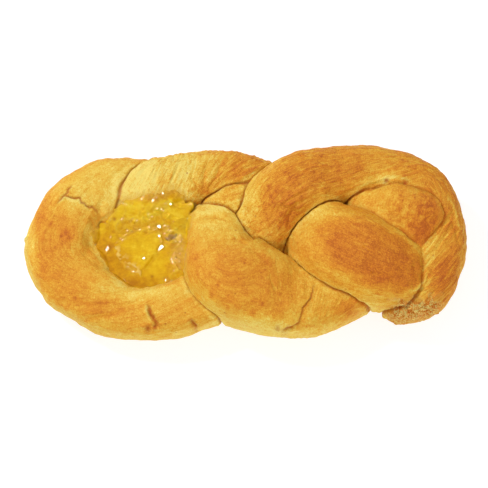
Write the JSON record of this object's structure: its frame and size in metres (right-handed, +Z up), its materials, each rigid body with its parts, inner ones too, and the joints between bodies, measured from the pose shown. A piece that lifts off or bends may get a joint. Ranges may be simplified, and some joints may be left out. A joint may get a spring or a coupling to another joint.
{
  "type": "braided bread",
  "caption": "Small plaited sweet bread: a rope of dough laid as a ring and twisted into a plait, flat base, a pool of yellow jam in the ring's hollow.",
  "frame": {"origin": "on the flat base, under the middle of the loaf seen from above", "axes": "+Z up, X along the length with the jam ring at -X, +Y across, away from the viewer of the picture"},
  "size_m": [0.1972, 0.0888, 0.0371],
  "materials": {
    "crust": "soft baked crust, golden brown on top and pale yellow at the sides, stands in for bread",
    "jam": "glossy, cloudy yellow jam with lumps, stands in for cooked fruit"
  },
  "bodies": {
    "root": {"loaf": "crust", "filling": "jam"}
  },
  "joints": []
}
